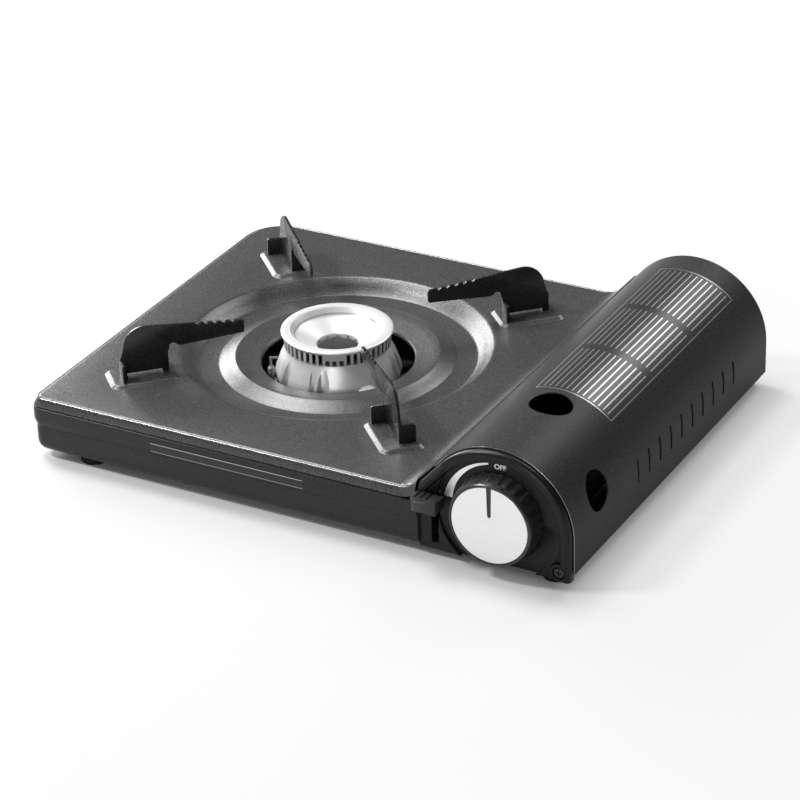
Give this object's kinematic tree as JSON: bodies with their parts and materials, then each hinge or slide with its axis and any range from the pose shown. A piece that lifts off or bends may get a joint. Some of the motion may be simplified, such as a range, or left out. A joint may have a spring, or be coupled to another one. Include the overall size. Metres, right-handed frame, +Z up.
{
  "type": "butane cassette stove",
  "caption": "Low black portable butane stove: square hob plate with a round drip trough, slotted burner, folded pot supports, knob, lock lever and a hinged arched cartridge cover",
  "frame": {"origin": "middle of the footprint of the whole stove, on the ground under the feet", "axes": "+X from the burner to the cartridge bay, +Y from the front with the knob to the back, +Z up"},
  "size_m": [0.345, 0.2797, 0.0745],
  "materials": {
    "textured_black": "fine textured powder coat, satin",
    "black_enamel": "matt black enamel",
    "plated_steel": "zinc plated sheet",
    "bare_aluminium": "rolled",
    "cast_aluminium": "cast, tumbled",
    "brushed_disc": "straight brushed",
    "machined_brass": "machined",
    "black_rubber": "moulded, matt",
    "black_plastic": "fine grained",
    "natural_plastic": "moulded, semi matt",
    "white_ceramic": "glazed",
    "red_lead": "silicone sleeve",
    "black_screw": "black oxide"
  },
  "bodies": {
    "case": {"lower_case": "textured_black", "rear_panel": "textured_black", "partition": "plated_steel", "feet": "black_rubber", "case_screws": "plated_steel", "burner_bracket": "plated_steel", "burner_body": "cast_aluminium", "burner_cap": "cast_aluminium", "burner_screw": "plated_steel", "mixing_tube": "plated_steel", "gas_jet": "machined_brass", "gas_pipe": "plated_steel", "spark_electrode": "white_ceramic", "electrode_bracket": "plated_steel", "spark_lead": "red_lead", "igniter": "black_plastic", "gas_governor": "cast_aluminium", "socket_plate": "plated_steel", "cartridge_socket": "machined_brass", "cartridge_seal": "black_rubber", "cartridge_cradle": "plated_steel", "heat_panel": "bare_aluminium", "carrier_guides": "plated_steel", "lever_bracket": "plated_steel", "lever_pivot_pin": "plated_steel", "front_frame": "black_plastic", "control_panel": "black_plastic", "panel_screw": "black_screw", "hinge_brackets": "plated_steel", "hinge_pins": "plated_steel"},
    "hob_plate": {"top_plate": "textured_black", "pot_support_front_left": "black_enamel", "pot_support_front_right": "black_enamel", "pot_support_back_left": "black_enamel", "pot_support_back_right": "black_enamel"},
    "cover": {"cover": "textured_black"},
    "knob": {"knob": "black_plastic", "knob_disc": "brushed_disc", "knob_shaft": "plated_steel", "igniter_cam": "natural_plastic"},
    "lock_lever": {"lever_plate": "plated_steel", "thumb_pad": "black_plastic", "carrier_link_pin": "plated_steel"},
    "carrier": {"cartridge_carrier": "plated_steel"}
  },
  "joints": [
    {"name": "plate_lift", "type": "slide", "parent": "case", "child": "hob_plate", "axis": [0, 0, 1], "range_m": [0, 0.08]},
    {"name": "cover_hinge", "type": "hinge", "parent": "case", "child": "cover", "pos_m": [0.09285, 0.0058, 0.05475], "axis": [0, -1, 0], "range_deg": [0, 90]},
    {"name": "knob_turn", "type": "hinge", "parent": "case", "child": "knob", "pos_m": [0.1281, -0.1256, 0.034], "axis": [0, -1, 0], "range_deg": [0, 110]},
    {"name": "lever_turn", "type": "hinge", "parent": "case", "child": "lock_lever", "pos_m": [0.09, -0.09775, 0.0255], "axis": [1, 0, 0], "range_deg": [0, 31]},
    {"name": "carrier_slide", "type": "slide", "parent": "case", "child": "carrier", "axis": [0, -1, 0], "range_m": [0, 0.007]}
  ],
  "couplings": [
    {"joint": "carrier_slide", "follows": "lever_turn", "m_per_rad": 0.012842}
  ]
}
